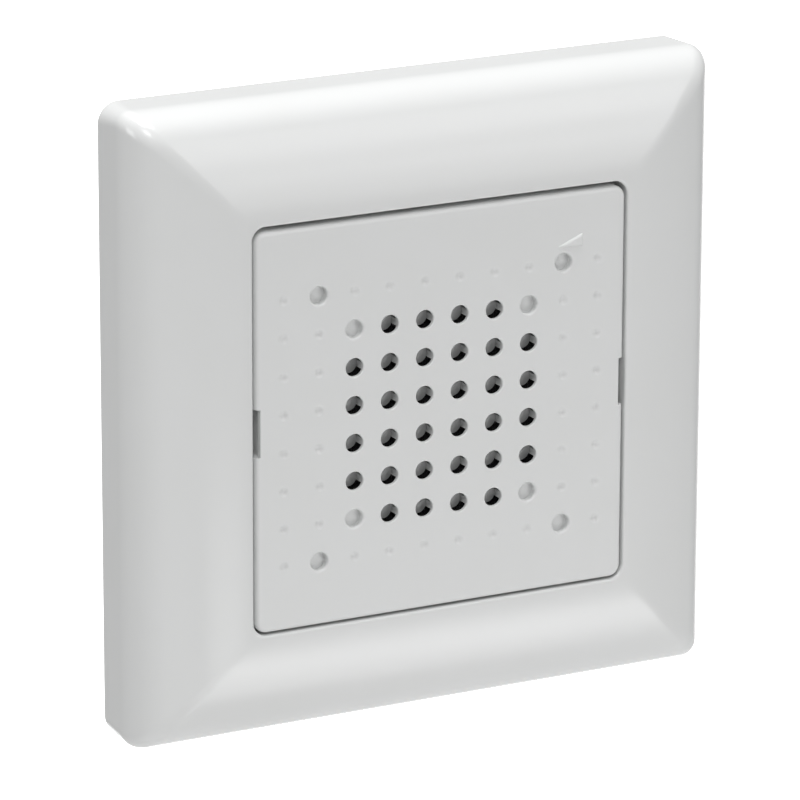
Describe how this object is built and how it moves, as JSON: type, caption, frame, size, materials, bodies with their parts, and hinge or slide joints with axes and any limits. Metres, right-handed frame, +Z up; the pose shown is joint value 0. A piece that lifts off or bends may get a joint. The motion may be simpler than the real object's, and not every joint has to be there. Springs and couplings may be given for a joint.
{
  "type": "electronic door chime",
  "caption": "Square flush-mounted electronic door chime: pillow-sided cover frame, perforated centre plate with a sound grille, and a small loudspeaker in a round wall-box housing.",
  "frame": {"origin": "the point of the wall's surface behind the middle of the square cover frame, which is also the centre of the wall box screws", "axes": "-Y out of the wall, towards the room; +Y into the wall box; +Z up; +X to the right for somebody who faces the chime"},
  "size_m": [0.08, 0.0387, 0.08],
  "materials": {
    "cover_white": "gloss",
    "plate_white": "satin",
    "gauze_black": "matte",
    "zinc_steel": "satin",
    "housing_grey": "matte",
    "carrier_black": "matte",
    "screw_steel": "satin",
    "gasket_foam": "matte",
    "basket_steel": "satin",
    "surround_cloth": "matte",
    "cone_paper": "matte",
    "coil_copper": "satin",
    "spider_cloth": "matte",
    "magnet_steel": "satin",
    "ferrite": "matte",
    "tag_board": "matte",
    "tinned_metal": "satin",
    "lead_red": "satin",
    "lead_grey": "satin",
    "trimmer_blue": "satin",
    "rotor_white": "satin",
    "board_green": "satin",
    "chip_black": "matte",
    "can_sleeve": "satin",
    "diode_black": "satin",
    "resistor_tan": "satin",
    "disc_ochre": "satin",
    "terminal_green": "satin",
    "clamp_brass": "satin"
  },
  "bodies": {
    "base": {"support_plate": "zinc_steel", "housing": "housing_grey", "speaker_carrier": "carrier_black", "carrier_screws": "screw_steel", "speaker_gasket": "gasket_foam", "speaker_basket": "basket_steel", "cone_surround": "surround_cloth", "spider": "spider_cloth", "magnet_top_plate": "magnet_steel", "speaker_magnet": "ferrite", "magnet_yoke": "magnet_steel", "speaker_tag_strip": "tag_board", "speaker_tags": "tinned_metal", "speaker_leads": "lead_red", "volume_trimmer": "trimmer_blue", "volume_leads": "lead_grey", "circuit_board": "board_green", "board_screws": "screw_steel", "sound_chip": "chip_black", "amplifier_chip": "chip_black", "electrolytic_capacitors": "can_sleeve", "rectifier_diodes": "diode_black", "board_resistors": "resistor_tan", "ceramic_capacitors": "disc_ochre", "terminal_block": "terminal_green", "terminal_contacts": "clamp_brass"},
    "cover": {"cover_frame": "cover_white"},
    "plate": {"centre_plate": "plate_white", "snap_arms": "plate_white", "acoustic_cloth": "gauze_black"},
    "cone": {"speaker_cone": "cone_paper", "dust_cap": "cone_paper", "voice_coil": "coil_copper"},
    "volume": {"volume_rotor": "rotor_white"},
    "screw_left": {"terminal_screw_left": "screw_steel"},
    "screw_right": {"terminal_screw_right": "screw_steel"},
    "cage_left": {"terminal_cage_left": "clamp_brass"},
    "cage_right": {"terminal_cage_right": "clamp_brass"}
  },
  "joints": [
    {"name": "cover_off", "type": "slide", "parent": "base", "child": "cover", "axis": [0, -1, 0], "range_m": [0, 0.03]},
    {"name": "plate_off", "type": "slide", "parent": "cover", "child": "plate", "axis": [0, -1, 0], "range_m": [0, 0.025]},
    {"name": "cone_stroke", "type": "slide", "parent": "base", "child": "cone", "axis": [0, -1, 0], "range_m": [-0.0005, 0.0005], "stiffness_N_per_m": 600},
    {"name": "volume_turn", "type": "hinge", "parent": "base", "child": "volume", "pos_m": [0.0168, -0.0076, 0.0163], "axis": [0, -1, 0], "range_deg": [-135, 135]},
    {"name": "screw_left_turn", "type": "hinge", "parent": "base", "child": "screw_left", "pos_m": [-0.00254, 0.026, -0.012], "axis": [0, -1, 0], "range_deg": [0, 1360]},
    {"name": "screw_right_turn", "type": "hinge", "parent": "base", "child": "screw_right", "pos_m": [0.00254, 0.026, -0.012], "axis": [0, -1, 0], "range_deg": [0, 1360]},
    {"name": "cage_left_lift", "type": "slide", "parent": "base", "child": "cage_left", "axis": [0, 1, 0], "range_m": [0, 0.0017]},
    {"name": "cage_right_lift", "type": "slide", "parent": "base", "child": "cage_right", "axis": [0, 1, 0], "range_m": [0, 0.0017]}
  ],
  "couplings": [
    {"joint": "screw_left_turn", "follows": "cage_left_lift", "rad_per_m": 13962},
    {"joint": "screw_right_turn", "follows": "cage_right_lift", "rad_per_m": 13962}
  ]
}
